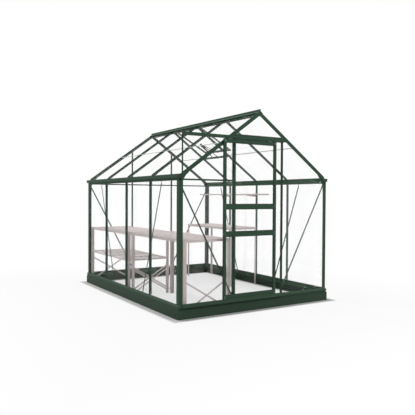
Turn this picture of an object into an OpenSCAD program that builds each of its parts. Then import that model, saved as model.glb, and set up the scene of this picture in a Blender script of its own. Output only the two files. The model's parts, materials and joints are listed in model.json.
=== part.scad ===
// Glazed garden greenhouse: aluminium frame on a steel plinth, a sliding door in the
// front gable, one roof vent held open, and slatted staging inside.
// Millimetres. Origin at ground level in the centre of the footprint, +Z up, +Y to the back.

/* [Frame] */
// Width across the outer faces of the side walls
frame_w = 1930; // [1600:10:2400]
// Length between the outer faces of the two gables
frame_l = 2560; // [2100:10:3200]
// Height of the eaves line above the top of the sill
eaves_h = 1255; // [1040:5:1520]
// Rise of the roof from the eaves line to the ridge line
roof_rise = 690; // [560:5:860]
// Number of glazed bays along each side
side_bays = 4; // [3:1:5]
// Width of each face of a corner post
post_w = 45; // [35:1:60]
// Wall thickness of posts, rafters and gutters
skin_t = 4.5; // [3:0.5:5]
// Width of a glazing bar's flange
bar_w = 22; // [18:1:30]
// Depth of a glazing bar from its nose to its inner face
bar_d = 30; // [26:1:36]
// Depth of a gable rafter's face
rafter_d = 40; // [32:1:55]

/* [Plinth and sill] */
// Height of the steel plinth
plinth_h = 94; // [80:1:160]
// Distance that the plinth stands out from the wall face
plinth_out = 15; // [8:1:30]
// Thickness of the plinth's steel
plinth_t = 3; // [2:0.5:5]
// Height of the aluminium sill
sill_h = 46; // [40:1:60]
// Distance that the sill's drip lip stands out from the wall face
lip_out = 12; // [6:1:14]

/* [Glass] */
// Thickness of every pane
glass_t = 3; // [3:0.5:4]
// Gap between two panes in one bay
pane_gap = 2; // [1.5:0.5:4]
// Distance down the slope from the ridge line to the joint between roof panes
roof_joint = 610; // [520:5:700]

/* [Door] */
// Distance that the door laps each side of the doorway
door_lap = 19.5; // [12:0.5:30]
// Thickness of the door leaf
door_t = 20; // [16:1:24]
// Face width of the door's stiles
stile_w = 30; // [24:1:40]
// Face height of the door's two middle rails
rail_h = 48; // [36:1:60]
// Face height of the door's top rail
top_rail_h = 36; // [28:1:60]
// Distance that the door stands open at rest
door_open = 130; // [0:5:300]
// Clearance between the door and the gable, and around it inside the track
door_gap = 7.5; // [7:0.5:9]
// Width of each hanger plate
hanger_w = 40; // [30:1:50]

/* [Vent] */
// Face width of the vent's frame
vent_rail = 22; // [18:1:30]
// Angle at which the vent stands open
vent_angle = 6.5; // [4:0.5:20]

/* [Staging] */
// Height of the long bench's top above the ground
bench_h = 760; // [700:5:820]
// Width of the long bench
bench_w = 545; // [420:5:600]
// Height of the short bench's top above the ground
side_bench_h = 775; // [700:5:830]
// Width of the short bench
side_bench_w = 425; // [340:5:450]
// Length of the short bench
side_bench_l = 1110; // [900:10:1300]
// Height of the long bench's lower shelf above the ground
shelf_h = 440; // [400:5:520]
// Face width of the angle legs of the long bench
leg_w = 38; // [28:1:45]
// Face width of the angle legs of the short bench
side_leg_w = 22; // [16:1:30]
// Thickness of the staging's metal
leg_t = 3; // [2:0.5:4]
// Distance from the eaves down to the top of the high shelf
high_shelf_drop = 115; // [100:5:220]
// Width of the high shelf
high_shelf_w = 150; // [110:5:200]
// Distance that the front module of the long bench stands further from the wall
bench_step = 36; // [0:2:60]

/* [Hidden] */
$fn = 48;

// Depths across a wall or a roof slope, counted inwards from its outer face
fit = 0.2;
glass_d = skin_t + 0.5;
flange_d = glass_d + glass_t;
flange_t = 3;
nose_w = 4;
stem_w = 8;
pane_side = nose_w / 2 + 1;
tuck = 10;
strip_t = 3;
strip_w = 16;
base_d = bar_d + 5;

// Heights
sill_top = plinth_h + sill_h;
groove_z = sill_top - 10;
eaves_z = sill_top + eaves_h;
ridge_z = eaves_z + roof_rise;
eaves_drop = 55;
wall_top = eaves_z - eaves_drop;

// Roof slope
half_w = frame_w / 2;
slope = atan2(roof_rise, half_w);
far = 3 * frame_w;

// Places along and across the building: centre lines of posts and bars
edge_c = 15;
gutter_out = 22;
guide_out = 39;
y_shift = (guide_out - plinth_out) / 2;
y_front = y_shift - frame_l / 2;
y_back = y_shift + frame_l / 2;
gable_bays = 3;
side_bay = (frame_l - 2 * edge_c) / side_bays;
gable_bay = (frame_w - 2 * edge_c) / gable_bays;
jamb_x = gable_bay / 2;
function bar_y(i) = y_front + edge_c + i * side_bay;
function roof_z(x) = ridge_z - abs(x) * tan(slope);

// Door, track and guide
header_h = 54;
header_z = roof_z(jamb_x + bar_w / 2) - rafter_d / cos(slope) - 30;
track_y = y_front - fit;
track_z = header_z + 1;
track_h = 30;
track_d = 2 * door_gap + door_t;
track_t = 3;
track_slot = 14;
track_x0 = -half_w + 28;
track_x1 = jamb_x + bar_w / 2;
door_w = gable_bay + 2 * door_lap;
door_x = -door_open - door_w / 2;
door_y = track_y - door_gap - door_t;
door_z = sill_top + 8;
door_top = track_z - 6;
door_h = door_top - door_z;
upper_rail_z = sill_top + 943;
lower_rail_z = sill_top + 665;
bottom_rail_h = 40;
wheel_r = 8;
wheel_w = track_d - 2 * track_t - 11;
wheel_lift = 0.4;

// Staging
stage_side = base_d + 0.3;
stage_end = stage_side;
module_gap = 35;
module_l = (frame_l - 2 * stage_end - module_gap) / 2;
frame_rail_w = 26;
frame_rail_h = 28;
shelf_rail_h = 18;
slat_t = 4;
slat_w = 40;
high_shelf_h = wall_top - high_shelf_drop;
brace_top = sill_top + 220;
brace_low = sill_top - 105;

// ---- placing helpers -------------------------------------------------------------

// Children are drawn in a slope's own frame: X down the slope, Y along the ridge and
// Z out of the roof, with zero on the outer face. Side is -1 for left and 1 for right.
module on_slope(side) {
    mirror([side < 0 ? 1 : 0, 0, 0])
        translate([0, 0, ridge_z])
            rotate([0, slope, 0])
                children();
}

// Children are drawn against the left wall, and again mirrored against the right wall
module both_sides() {
    for (side = [0, 1])
        mirror([side, 0, 0])
            children();
}

// Children are drawn against the front gable, and again mirrored against the back gable
module both_ends() {
    for (end = [0, 1])
        at_end(end)
            children();
}

// Children drawn against the front gable stay there for end 0 and move to the back for 1
module at_end(end) {
    translate([0, end * 2 * y_shift, 0])
        mirror([0, end, 0])
            children();
}

// Everything above the two slopes at a depth below the roof's outer face
module above_roof(depth) {
    for (side = [-1, 1])
        on_slope(side)
            translate([-far, -far, -depth])
                cube([2 * far, 2 * far, far]);
}

// Keeps what lies between the ridge beam and the inner face of one side's gutter
module trim_slope(side) {
    intersection() {
        children();
        mirror([side < 0 ? 1 : 0, 0, 0])
            translate([ridge_web / 2, -far, 0])
                cube([half_w - bar_d - ridge_web / 2, 2 * far, 2 * ridge_z]);
    }
}

// Cuts both ends of a rail at 45 degrees, so that four of them meet at the corners of a
// frame. The rail runs along X, centred, with its outer face on Y = 0 and Y inwards.
module mitred(length) {
    difference() {
        children();
        for (side = [0, 1])
            mirror([side, 0, 0])
                translate([length / 2 - fit / 2, 0, -1])
                    rotate([0, 0, 45])
                        translate([0, -far, 0])
                            cube([far, 2 * far, 2 * sill_top]);
    }
}

// A rail along X made from a section of points [inwards, up]
module rail_x(length, section) {
    rotate([90, 0, 90])
        translate([0, 0, -length / 2])
            linear_extrude(length)
                polygon(section);
}

// A mitred rail on each side wall
module side_rails(section, out) {
    both_sides()
        translate([-half_w, y_shift, 0])
            rotate([0, 0, -90])
                mitred(frame_l)
                    rail_x(frame_l + 2 * out, section);
}

// A mitred rail on each gable
module end_rails(section, out) {
    both_ends()
        translate([0, y_front, 0])
            mitred(frame_w)
                rail_x(frame_w + 2 * out, section);
}

// A flat strip between two points [across, up], drawn in the XZ plane from Y = 0 inwards.
// Its ends are cut upright.
module flat_strip(p, q, width, thickness) {
    half = width / 2 * norm(q - p) / abs(q[0] - p[0]);
    rotate([90, 0, 0])
        translate([0, 0, -thickness])
            linear_extrude(thickness)
                polygon([
                    [p[0], p[1] - half], [q[0], q[1] - half],
                    [q[0], q[1] + half], [p[0], p[1] + half]
                ]);
}

// ---- sections --------------------------------------------------------------------

// Glazing bar: points [across, inwards] of a nose, a flange and a stem
bar_section = [
    [-nose_w / 2, 0], [nose_w / 2, 0], [nose_w / 2, flange_d], [bar_w / 2, flange_d],
    [bar_w / 2, flange_d + flange_t], [stem_w / 2, flange_d + flange_t],
    [stem_w / 2, bar_d], [-stem_w / 2, bar_d], [-stem_w / 2, flange_d + flange_t],
    [-bar_w / 2, flange_d + flange_t], [-bar_w / 2, flange_d], [-nose_w / 2, flange_d]
];

plinth_section = [
    [-plinth_out, 0], [base_d / 2, 0], [base_d / 2, plinth_t],
    [plinth_t - plinth_out, plinth_t], [plinth_t - plinth_out, plinth_h - plinth_t],
    [base_d, plinth_h - plinth_t], [base_d, plinth_h], [-plinth_out, plinth_h]
];

groove_in = flange_d + 1;
sill_section = [
    [-lip_out, sill_top - 30], [0, sill_top - 30], [0, plinth_h], [base_d, plinth_h],
    [base_d, plinth_h + 4], [groove_in + 3, plinth_h + 4], [groove_in + 3, sill_top],
    [groove_in, sill_top], [groove_in, groove_z], [skin_t, groove_z], [skin_t, sill_top],
    [0, sill_top], [-lip_out, sill_top - 14]
];

// Inner wall of the gutter: it stops just under the roof panes
gutter_in = bar_d - 3;
gutter_floor = wall_top + 22;
gutter_wall_z = eaves_z + gutter_in * tan(slope) - flange_d / cos(slope) - 0.3;
gutter_section = [
    [-gutter_out, gutter_floor], [-gutter_out, eaves_z + 3], [3 - gutter_out, eaves_z + 3],
    [3 - gutter_out, gutter_floor + 3], [gutter_in, gutter_floor + 3],
    [gutter_in, gutter_wall_z], [bar_d, gutter_wall_z], [bar_d, wall_top],
    [gutter_in, wall_top], [gutter_in, gutter_floor], [skin_t, gutter_floor],
    [skin_t, wall_top], [0, wall_top], [0, gutter_floor]
];

// ---- plinth, sill and frame ------------------------------------------------------

module plinth_sides() {
    color("darkslategray") side_rails(plinth_section, plinth_out);
}

module plinth_ends() {
    color("darkslategray") end_rails(plinth_section, plinth_out);
}

module sill_sides() {
    color("darkgreen") side_rails(sill_section, lip_out);
}

module sill_ends() {
    color("darkgreen") end_rails(sill_section, lip_out);
}

// Angle posts, with a tongue that carries the gable face up to the rafter
module corner_posts() {
    color("darkgreen")
        both_ends()
            both_sides()
                translate([-half_w, y_front, sill_top])
                    difference() {
                        union() {
                            cube([post_w, skin_t, wall_top - sill_top]);
                            cube([skin_t, post_w, wall_top - sill_top]);
                            translate([bar_d, 0, 0])
                                cube([post_w - bar_d, skin_t, eaves_z - sill_top]);
                        }
                        translate([half_w, -y_front, -sill_top])
                            above_roof(rafter_d);
                    }
}

module eaves_gutters() {
    color("darkgreen")
        both_sides()
            translate([-half_w, y_shift, 0])
                rotate([0, 0, -90])
                    rail_x(frame_l, gutter_section);
}

ridge_web = 16;
ridge_beam_h = 52;
module ridge_beam() {
    color("darkgreen")
        difference() {
            translate([-ridge_web / 2, y_front, ridge_z - ridge_beam_h])
                cube([ridge_web, frame_l, ridge_beam_h]);
            above_roof(0);
        }
}

cap_w = 35;
cap_t = 3;
cap_rib = 14;
cap_over = 5;
module ridge_cap() {
    color("darkgreen")
        translate([0, y_shift + frame_l / 2 + cap_over, fit])
            rotate([90, 0, 0])
                linear_extrude(frame_l + 2 * cap_over)
                    polygon([
                        [-cap_w, roof_z(cap_w)], [0, ridge_z], [cap_w, roof_z(cap_w)],
                        [cap_w, roof_z(cap_w) + cap_t], [8, roof_z(8) + cap_t],
                        [8, ridge_z + cap_rib], [3, ridge_z + cap_rib + 4],
                        [-3, ridge_z + cap_rib + 4], [-8, ridge_z + cap_rib],
                        [-8, roof_z(8) + cap_t], [-cap_w, roof_z(cap_w) + cap_t]
                    ]);
}

// Gable rafters: a face leg, and a flange that carries the edge of the roof panes
rafter_flange = 24;
module rafters(side) {
    color("darkgreen")
        trim_slope(side)
            on_slope(side)
                for (end = [0, 1])
                    at_end(end)
                        translate([0, y_front, 0])
                            rotate([90, 0, 90])
                                linear_extrude(far / 2)
                                    polygon([
                                        [0, 0], [0, -rafter_d], [skin_t, -rafter_d],
                                        [skin_t, -flange_d - flange_t],
                                        [rafter_flange, -flange_d - flange_t],
                                        [rafter_flange, -flange_d], [skin_t, -flange_d],
                                        [skin_t, 0]
                                    ]);
}

module rafters_left() {
    rafters(-1);
}

module rafters_right() {
    rafters(1);
}

module side_bars() {
    color("darkgreen")
        both_sides()
            for (i = [1 : side_bays - 1])
                translate([-half_w, bar_y(i), sill_top])
                    rotate([0, 0, -90])
                        linear_extrude(wall_top - sill_top)
                            polygon(bar_section);
}

module roof_bars() {
    color("darkgreen")
        for (side = [-1, 1])
            trim_slope(side)
                on_slope(side)
                    for (i = [1 : side_bays - 1])
                        translate([0, bar_y(i), 0])
                            rotate([90, 0, 90])
                                linear_extrude(far / 2)
                                    polygon([for (p = bar_section) [p[0], -p[1]]]);
}

// Two bars up a gable, from the sill to the rafters' lower edge
module gable_bars(end) {
    color("darkgreen")
        at_end(end)
            both_sides()
                difference() {
                    translate([-jamb_x, y_front, sill_top])
                        linear_extrude(ridge_z - sill_top)
                            polygon(bar_section);
                    above_roof(rafter_d);
                }
}

module back_gable_bars() {
    gable_bars(1);
}

// The bars beside the doorway; the left one has a wide face that the door closes against
jamb_face = [-26, 20];
module door_jambs() {
    gable_bars(0);
    color("darkgreen")
        difference() {
            translate([jamb_face[0] - jamb_x, y_front + flange_d, sill_top])
                cube([jamb_face[1] - jamb_face[0], flange_t, ridge_z - sill_top]);
            above_roof(rafter_d);
        }
}

// Ties at eaves height, between the bars' stems and the posts' side faces
tie_h = 16;
tie_d = 12;
tie_z = wall_top + 1;
module gable_ties() {
    color("darkgreen") {
        for (end = [0, 1])
            at_end(end)
                both_sides()
                    translate([bar_d - half_w, y_front + flange_d + flange_t, tie_z])
                        cube([half_w - bar_d - jamb_x - stem_w / 2, tie_d, tie_h]);
        at_end(1)
            translate([stem_w / 2 - jamb_x, y_front + flange_d + flange_t, tie_z])
                cube([2 * jamb_x - stem_w, tie_d, tie_h]);
    }
}

// Two braces on each side wall, leaning across the outer bars towards the middle
brace_up = 408;
brace_down = 858;
module side_braces() {
    color("darkgreen")
        both_sides()
            both_ends()
                translate([bar_d + strip_t - half_w, y_front + edge_c, 0])
                    rotate([0, 0, 90])
                        flat_strip([brace_up, wall_top - 14], [brace_down, sill_top - 14],
                            strip_w, strip_t);
}

// Two braces on each gable, from the posts' heads to the feet of the gable bars
module gable_braces() {
    color("darkgreen")
        both_ends()
            both_sides()
                translate([0, y_front + bar_d, 0])
                    flat_strip([12 - half_w, wall_top - 2], [-jamb_x, sill_top + 14],
                        strip_w, strip_t);
}

// Plates with a hollow edge in the corners between the posts and the rafters
gusset_w = 112;
gusset_drop = 92;
gusset_r = 170;
module eaves_gussets() {
    color("darkgreen")
        both_ends()
            both_sides()
                difference() {
                    translate([skin_t - half_w, y_front + flange_d + 0.5, wall_top - gusset_drop])
                        difference() {
                            cube([gusset_w, 2, 4 * gusset_drop]);
                            translate([gusset_w + 95, -1, 32])
                                rotate([-90, 0, 0])
                                    cylinder(h = 4, r = gusset_r);
                        }
                    above_roof(flange_d + flange_t);
                    translate([-half_w - 1, y_front, wall_top])
                        cube([bar_d + 1, 2 * bar_d, 2 * eaves_drop + gusset_w]);
                }
}

// Plates under the ridge at each gable, notched around the ridge beam
apex_w = 60;
apex_drop = 2;
module apex_gussets() {
    color("darkgreen")
        both_ends()
            difference() {
                translate([-apex_w, y_front + flange_d + 0.5, ridge_z - ridge_beam_h - apex_drop])
                    cube([2 * apex_w, 2, ridge_beam_h + apex_drop]);
                above_roof(flange_d + flange_t);
                translate([-ridge_web / 2, y_front - 1, ridge_z - ridge_beam_h])
                    cube([ridge_web, 2 * bar_d, ridge_beam_h + 1]);
            }
}

// ---- door track, header and guide ------------------------------------------------

module door_header() {
    color("darkgreen")
        translate([stem_w / 2 - jamb_x, y_front + flange_d + flange_t, header_z])
            cube([2 * jamb_x - stem_w, tie_d, header_h]);
}

// Channel with a slot in its floor, in which the hangers' wheels run
module door_track() {
    color("darkgreen")
        translate([track_x0, track_y - track_d, track_z])
            difference() {
                cube([track_x1 - track_x0, track_d, track_h]);
                translate([-1, track_t, track_t])
                    cube([track_x1 - track_x0 + 2, track_d - 2 * track_t, track_h - 2 * track_t]);
                translate([-1, (track_d - track_slot) / 2, -1])
                    cube([track_x1 - track_x0 + 2, track_slot, track_t + 2]);
            }
}

// Strip that stands on the left post's face and carries the end of the track
module track_strut() {
    color("darkgreen")
        translate([track_x0, track_y - 2, wall_top - 45])
            cube([strip_w, 2, track_z - wall_top + 45]);
}

// Angle on the front sill's lip, with an upstand in front of the door's lower edge
module door_guide() {
    color("green")
        translate([(track_x0 + track_x1) / 2, y_front, sill_top])
            rail_x(track_x1 - track_x0, [
                [-lip_out, -24], [-lip_out, -20], [3 - guide_out, -20], [3 - guide_out, 14],
                [-guide_out, 14], [-guide_out, -24]
            ]);
}

// ---- glass -----------------------------------------------------------------------

// Panes of a side wall, from the groove in the sill to the lip under the gutter
module side_glass() {
    color("lightblue", 0.35)
        both_sides()
            for (i = [0 : side_bays - 1]) {
                y0 = i == 0 ? y_front + base_d : bar_y(i) + pane_side;
                y1 = i == side_bays - 1 ? y_back - base_d : bar_y(i + 1) - pane_side;
                translate([glass_d - half_w, y0, groove_z])
                    cube([glass_t, y1 - y0, wall_top + tuck - groove_z]);
            }
}

// One gable pane between two places across, cut under the rafters
module gable_pane(x0, x1, z0, z1) {
    difference() {
        translate([x0, y_front + glass_d, z0])
            cube([x1 - x0, glass_t, z1 - z0]);
        above_roof(flange_d + flange_t + 3);
    }
}

pane_split = tie_z + tie_h / 2;
pane_top = ridge_z - ridge_beam_h - 0.3;
module outer_gable_panes() {
    both_sides() {
        gable_pane(base_d - half_w, -jamb_x - pane_side, groove_z,
            pane_split - pane_gap / 2);
        gable_pane(base_d - half_w, -jamb_x - pane_side, pane_split + pane_gap / 2,
            ridge_z);
    }
}

module back_glass() {
    color("lightblue", 0.35)
        at_end(1) {
            outer_gable_panes();
            gable_pane(pane_side - jamb_x, jamb_x - pane_side, groove_z,
                pane_split - pane_gap / 2);
            gable_pane(pane_side - jamb_x, jamb_x - pane_side, pane_split + pane_gap / 2,
                pane_top);
        }
}

module front_glass() {
    color("lightblue", 0.35) {
        outer_gable_panes();
        gable_pane(pane_side - jamb_x, jamb_x - pane_side, header_z + header_h / 2, pane_top);
    }
}

// Where the panes of a slope start and end, measured down the slope from the ridge line
pane_u0 = (ridge_web / 2 + 2) / cos(slope) + flange_d * tan(slope);
pane_u1 = (half_w - glass_d) / cos(slope);

// Panes of one slope: an upper and a lower one in each bay, with none behind the vent
module roof_panes(side, open_bay) {
    color("lightblue", 0.35)
        on_slope(side)
            for (i = [0 : side_bays - 1]) {
                y0 = i == 0 ? y_front + skin_t + 2.5 : bar_y(i) + pane_side;
                y1 = i == side_bays - 1 ? y_back - skin_t - 2.5 : bar_y(i + 1) - pane_side;
                if (i != open_bay)
                    translate([pane_u0, y0, -flange_d])
                        cube([roof_joint - pane_gap / 2 - pane_u0, y1 - y0, glass_t]);
                translate([roof_joint + pane_gap / 2, y0, -flange_d])
                    cube([pane_u1 - roof_joint - pane_gap / 2, y1 - y0, glass_t]);
            }
}

module roof_glass_left() {
    roof_panes(-1, -1);
}

module roof_glass_right() {
    roof_panes(1, vent_bay);
}

// ---- roof vent -------------------------------------------------------------------

vent_bay = side_bays - 2;
vent_w = side_bay - 12;
vent_y = (bar_y(vent_bay) + bar_y(vent_bay + 1)) / 2;
vent_t = 14;

// The hinge pin rests in the corner between the ridge cap's edge and the roof plane
vent_pin_r = 5;
vent_pin_z = vent_pin_r + 0.3;
cap_edge_u = cap_w / cos(slope) - (cap_t + fit) * sin(slope);
cap_edge_z = (cap_t + fit) * cos(slope);
vent_u = cap_edge_u + sqrt(pow(vent_pin_r + 0.3, 2) - pow(vent_pin_z - cap_edge_z, 2));
vent_l = roof_joint - vent_u - 8;

// Children are drawn in the open vent's own frame: X down the vent from its hinge line,
// Y along it from its middle and Z out of the roof
module on_vent() {
    on_slope(1)
        translate([vent_u, vent_y, vent_pin_z])
            rotate([0, -vent_angle, 0])
                children();
}

module vent_frame() {
    color("darkgreen")
        on_vent()
            union() {
                translate([0, vent_w / 2, 0])
                    rotate([90, 0, 0])
                        cylinder(h = vent_w, r = vent_pin_r);
                difference() {
                    translate([0, -vent_w / 2, -vent_pin_r])
                        cube([vent_l, vent_w, vent_t]);
                    translate([vent_rail, vent_rail - vent_w / 2, -vent_pin_r - 1])
                        cube([vent_l - 2 * vent_rail, vent_w - 2 * vent_rail, vent_t + 2]);
                }
            }
}

module vent_glass() {
    inset = vent_rail + fit / 2;
    color("lightblue", 0.35)
        on_vent()
            translate([inset, inset - vent_w / 2, 2])
                cube([vent_l - 2 * inset, vent_w - 2 * inset, glass_t]);
}

// Bar across the bay under the vent's lower edge, between the bars' stems
vent_sill_w = 26;
vent_sill_t = 14;
module vent_sill() {
    color("darkgreen")
        on_slope(1)
            translate([roof_joint - vent_sill_w / 2, bar_y(vent_bay) + stem_w / 2,
                -flange_d - flange_t - vent_sill_t])
                cube([vent_sill_w, side_bay - stem_w, vent_sill_t]);
}

// Stay under the vent: a forked arm up from the vent sill to a pivot, and a straight arm
// from the pivot out to the vent's lower rail
stay_u = 320;
stay_spread = 65;
stay_t = 4;
stay_w = 14;
module vent_stay() {
    foot_u = roof_joint - vent_sill_w / 2 - fit / 2;
    pivot_z = -flange_d - flange_t - vent_sill_t / 2;
    rail_x = vent_l - vent_rail / 2;
    rail_u = vent_u + rail_x * cos(vent_angle) + vent_pin_r * sin(vent_angle);
    rail_z = vent_pin_z + rail_x * sin(vent_angle) - vent_pin_r * cos(vent_angle);
    arm_z = rail_z - stay_t - pivot_z;
    color("darkslategray")
        union() {
            on_slope(1)
                translate([0, vent_y, pivot_z]) {
                    translate([0, 0, -stay_t / 2])
                        linear_extrude(stay_t)
                            polygon([
                                [stay_u - 8, -12], [foot_u, -stay_spread - stay_w / 2],
                                [foot_u, stay_w / 2 - stay_spread], [stay_u + 90, -16],
                                [stay_u + 90, 16], [foot_u, stay_spread - stay_w / 2],
                                [foot_u, stay_spread + stay_w / 2], [stay_u - 8, 12]
                            ]);
                    translate([stay_u, 16, 0])
                        rotate([90, 0, 0])
                            cylinder(h = 32, r = 6);
                    translate([stay_u, -stay_w / 2, 0])
                        rotate([0, -atan2(arm_z, rail_u - stay_u), 0])
                            translate([0, 0, -stay_t / 2])
                                cube([norm([arm_z, rail_u - stay_u]), stay_w, stay_t]);
                }
            on_vent()
                translate([rail_x - vent_rail / 2, -stay_w, -vent_pin_r - stay_t - fit])
                    cube([vent_rail, 2 * stay_w, stay_t]);
        }
}

// ---- door ------------------------------------------------------------------------

module door_stiles() {
    color("green")
        for (x = [door_x, door_x + door_w - stile_w])
            translate([x, door_y, door_z])
                cube([stile_w, door_t, door_h]);
}

// A rail of the door between its stiles
module door_rail(z, height) {
    translate([door_x + stile_w, door_y, z])
        cube([door_w - 2 * stile_w, door_t, height]);
}

module door_rails() {
    color("green") {
        door_rail(door_z, bottom_rail_h);
        door_rail(lower_rail_z - rail_h / 2, rail_h);
        door_rail(upper_rail_z - rail_h / 2, rail_h);
        door_rail(door_top - top_rail_h, top_rail_h);
    }
}

// A pane of the door between two rails
module door_pane(z0, z1) {
    translate([door_x + stile_w, door_y + (door_t - glass_t) / 2, z0])
        cube([door_w - 2 * stile_w, glass_t, z1 - z0]);
}

module door_glass() {
    color("lightblue", 0.35) {
        door_pane(door_z + bottom_rail_h, lower_rail_z - rail_h / 2);
        door_pane(lower_rail_z + rail_h / 2, upper_rail_z - rail_h / 2);
        door_pane(upper_rail_z + rail_h / 2, door_top - top_rail_h);
    }
}

// Hangers on the door's top edge: a plate through the track's slot and a wheel inside it
hanger_in = 80;
hanger_t = 3;
module door_hangers() {
    wheel_z = track_z + track_t + wheel_lift + wheel_r;
    y_mid = track_y - track_d / 2;
    color("silver")
        for (x = [door_x + hanger_in, door_x + door_w - hanger_in])
            translate([x, y_mid, 0])
                union() {
                    translate([-hanger_w / 2, -hanger_t / 2, door_top])
                        cube([hanger_w, hanger_t, wheel_z - door_top + 4]);
                    translate([0, wheel_w / 2, wheel_z])
                        rotate([90, 0, 0])
                            cylinder(h = wheel_w, r = wheel_r);
                }
}

// ---- staging ---------------------------------------------------------------------

// A slatted top with its upper face on Z = 0: two long rails, two end rails, and slats
// that run the long way. It starts at the origin and runs along X and Y.
module slatted_top(width, length, rail_d, slats) {
    union() {
        for (x = [0, width - frame_rail_w])
            translate([x, 0, -rail_d])
                cube([frame_rail_w, length, rail_d]);
        for (y = [0, length - leg_t])
            translate([0, y, -rail_d])
                cube([width, leg_t, rail_d]);
        for (y = [length / 4 : length / 4 : length - 1])
            translate([0, y - 10, -rail_d])
                cube([width, 20, rail_d - slat_t]);
        for (i = [1 : slats]) {
            gap = (width - 2 * frame_rail_w - slats * slat_w) / (slats + 1);
            translate([frame_rail_w + i * gap + (i - 1) * slat_w, 0, -slat_t])
                cube([slat_w, length, slat_t]);
        }
    }
}

// An angle leg with its corner at the origin, opening towards +X and +Y
module angle_leg(width, height) {
    union() {
        cube([width, leg_t, height]);
        cube([leg_t, width, height]);
    }
}

// Four angle legs under the corners of a top
module four_legs(width, length, leg, height) {
    for (i = [0, 1])
        for (j = [0, 1])
            translate([i * width, j * length, 0])
                mirror([i, 0, 0])
                    mirror([0, j, 0])
                        angle_leg(leg, height);
}

// Near-left corners of the two modules of the long bench, [across, along]
bench_at = [
    [stage_side - half_w + bench_step, y_front + stage_end],
    [stage_side - half_w, y_front + stage_end + module_l + module_gap]
];

module bench_tops() {
    color("silver")
        for (p = bench_at)
            translate([p[0], p[1], bench_h])
                slatted_top(bench_w, module_l, frame_rail_h, 6);
}

module bench_legs() {
    color("silver")
        for (p = bench_at)
            translate([p[0], p[1], 0])
                four_legs(bench_w, module_l, leg_w, bench_h - frame_rail_h);
}

// Lower shelf of the back module, held between its legs
module bench_shelf() {
    color("silver")
        translate([bench_at[1][0] + leg_t, bench_at[1][1] + leg_t, shelf_h])
            slatted_top(bench_w - 2 * leg_t, module_l - 2 * leg_t, shelf_rail_h, 6);
}

// A brace in each of the four leg frames, between heights z0 and z1 at its two ends. Inset
// is its distance along the building from the first face that the frame offers.
module bench_brace(inset, z0, z1) {
    color("silver")
        for (p = bench_at)
            for (y = [leg_t, module_l - leg_t - 2 * strip_t])
                translate([p[0], p[1] + y + inset, 0])
                    flat_strip([leg_t, z0], [bench_w - leg_t, z1], strip_w, strip_t);
}

module bench_braces_a() {
    bench_brace(0, brace_top, brace_low);
}

module bench_braces_b() {
    bench_brace(strip_t, brace_low, brace_top);
}

side_bench_x = half_w - stage_side - side_bench_w;
side_bench_y = y_back - 190 - side_bench_l;

module side_bench_top() {
    color("silver")
        translate([side_bench_x, side_bench_y, side_bench_h])
            slatted_top(side_bench_w, side_bench_l, frame_rail_h, 5);
}

module side_bench_legs() {
    color("silver")
        translate([side_bench_x, side_bench_y, 0])
            four_legs(side_bench_w, side_bench_l, side_leg_w, side_bench_h - frame_rail_h);
}

shelf_rail_d = 18;
shelf_x = half_w - bar_d - strip_t - 0.3 - high_shelf_w;
shelf_y0 = bar_y(1) + 350;
shelf_y1 = y_back - post_w - 25;
module high_shelf() {
    color("silver")
        translate([shelf_x, shelf_y0, high_shelf_h])
            slatted_top(high_shelf_w, shelf_y1 - shelf_y0, shelf_rail_d, 1);
}

// Brackets under the high shelf, on the stems of the side bars that it passes
module shelf_brackets() {
    bracket_h = 22;
    color("silver")
        for (i = [2 : side_bays - 1])
            translate([0, bar_y(i) + 2, high_shelf_h - shelf_rail_d])
                rotate([90, 0, 0])
                    linear_extrude(4)
                        polygon([
                            [half_w - bar_d, 0], [half_w - bar_d, -bracket_h],
                            [half_w - bar_d - 12, -bracket_h], [shelf_x + 10, -10],
                            [shelf_x + 10, 0]
                        ]);
}

plinth_sides();
plinth_ends();
sill_sides();
sill_ends();
corner_posts();
eaves_gutters();
ridge_beam();
ridge_cap();
rafters_left();
rafters_right();
side_bars();
roof_bars();
back_gable_bars();
door_jambs();
gable_ties();
side_braces();
gable_braces();
eaves_gussets();
apex_gussets();
door_header();
door_track();
track_strut();
door_guide();
side_glass();
back_glass();
front_glass();
roof_glass_left();
roof_glass_right();
vent_frame();
vent_glass();
vent_sill();
vent_stay();
door_stiles();
door_rails();
door_glass();
door_hangers();
bench_tops();
bench_legs();
bench_shelf();
bench_braces_a();
bench_braces_b();
side_bench_top();
side_bench_legs();
high_shelf();
shelf_brackets();
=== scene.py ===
"""Finishes, fixings and studio for a glazed garden greenhouse with a sliding door."""

import json
import logging
import math
from dataclasses import dataclass, field
from enum import Enum

import bpy
from mathutils import Matrix, Vector


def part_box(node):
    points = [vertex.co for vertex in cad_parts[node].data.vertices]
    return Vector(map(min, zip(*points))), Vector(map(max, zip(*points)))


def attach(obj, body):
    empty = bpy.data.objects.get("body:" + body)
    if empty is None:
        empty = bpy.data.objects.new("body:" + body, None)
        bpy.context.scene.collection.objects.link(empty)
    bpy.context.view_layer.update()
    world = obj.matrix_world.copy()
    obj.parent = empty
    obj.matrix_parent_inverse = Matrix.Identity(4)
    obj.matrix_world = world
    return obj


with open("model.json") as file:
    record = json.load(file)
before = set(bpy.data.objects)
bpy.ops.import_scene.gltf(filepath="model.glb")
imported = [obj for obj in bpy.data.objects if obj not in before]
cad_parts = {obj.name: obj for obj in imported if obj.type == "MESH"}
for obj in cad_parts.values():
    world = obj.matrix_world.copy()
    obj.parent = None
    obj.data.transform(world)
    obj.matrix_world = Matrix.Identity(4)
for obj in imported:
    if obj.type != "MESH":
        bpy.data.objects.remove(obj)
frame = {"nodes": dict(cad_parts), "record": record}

log = logging.getLogger("greenhouse")

Colour = tuple[float, float, float]
Point = tuple[float, float, float]

WHITE = (1.0, 1.0, 1.0, 1.0)

HOUSE = "greenhouse"
DOOR = "door"

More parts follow.
